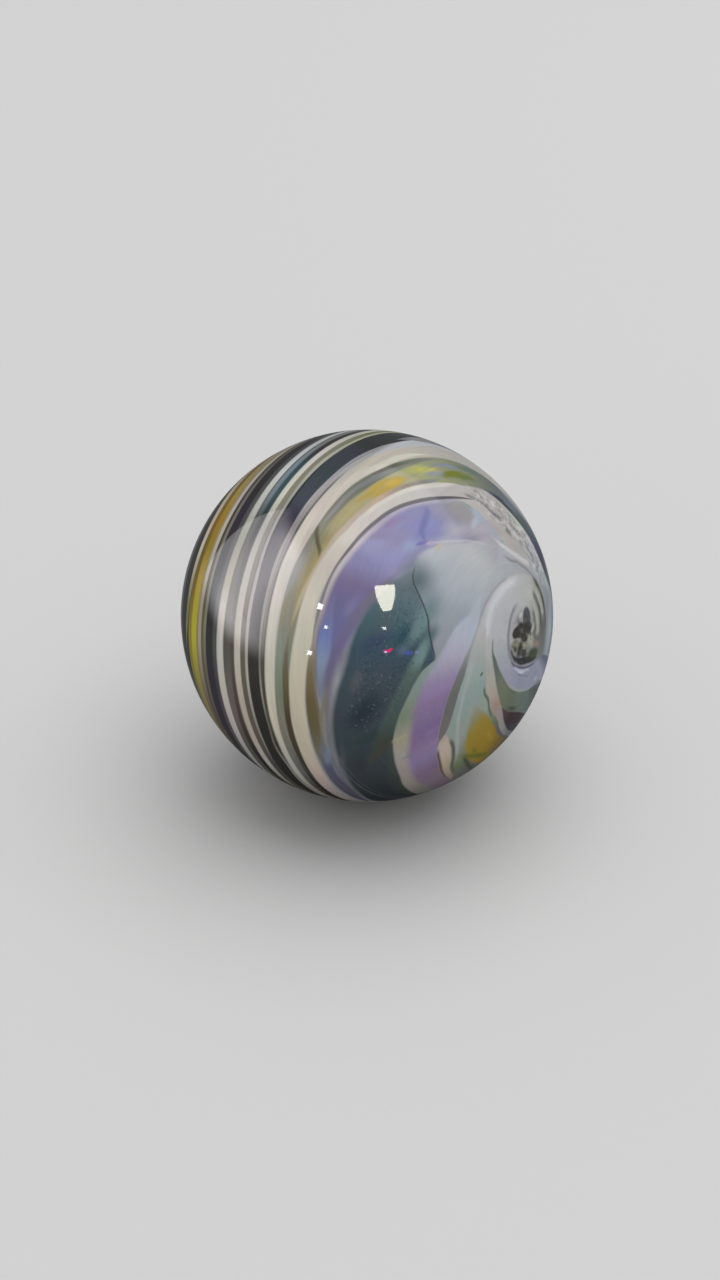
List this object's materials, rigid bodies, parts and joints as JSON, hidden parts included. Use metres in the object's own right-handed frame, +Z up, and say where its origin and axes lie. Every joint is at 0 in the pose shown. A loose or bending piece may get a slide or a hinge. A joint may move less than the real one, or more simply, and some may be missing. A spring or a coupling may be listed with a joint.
{
  "type": "glass marble",
  "caption": "Solid glass ball: light and coloured stripes wound on dark glass, drawn up into a spiral vortex with a dark eye at one side.",
  "frame": {"origin": "centre of the ball", "axes": "+Z up as it lies; the pole that the stripes circle points along +X, tipped up by about 10 degrees, and the eye of the vortex lies 4 degrees from that pole"},
  "size_m": [0.035, 0.035, 0.035],
  "materials": {
    "swirl_glass": "polished"
  },
  "bodies": {
    "root": {"marble": "swirl_glass"}
  },
  "joints": []
}
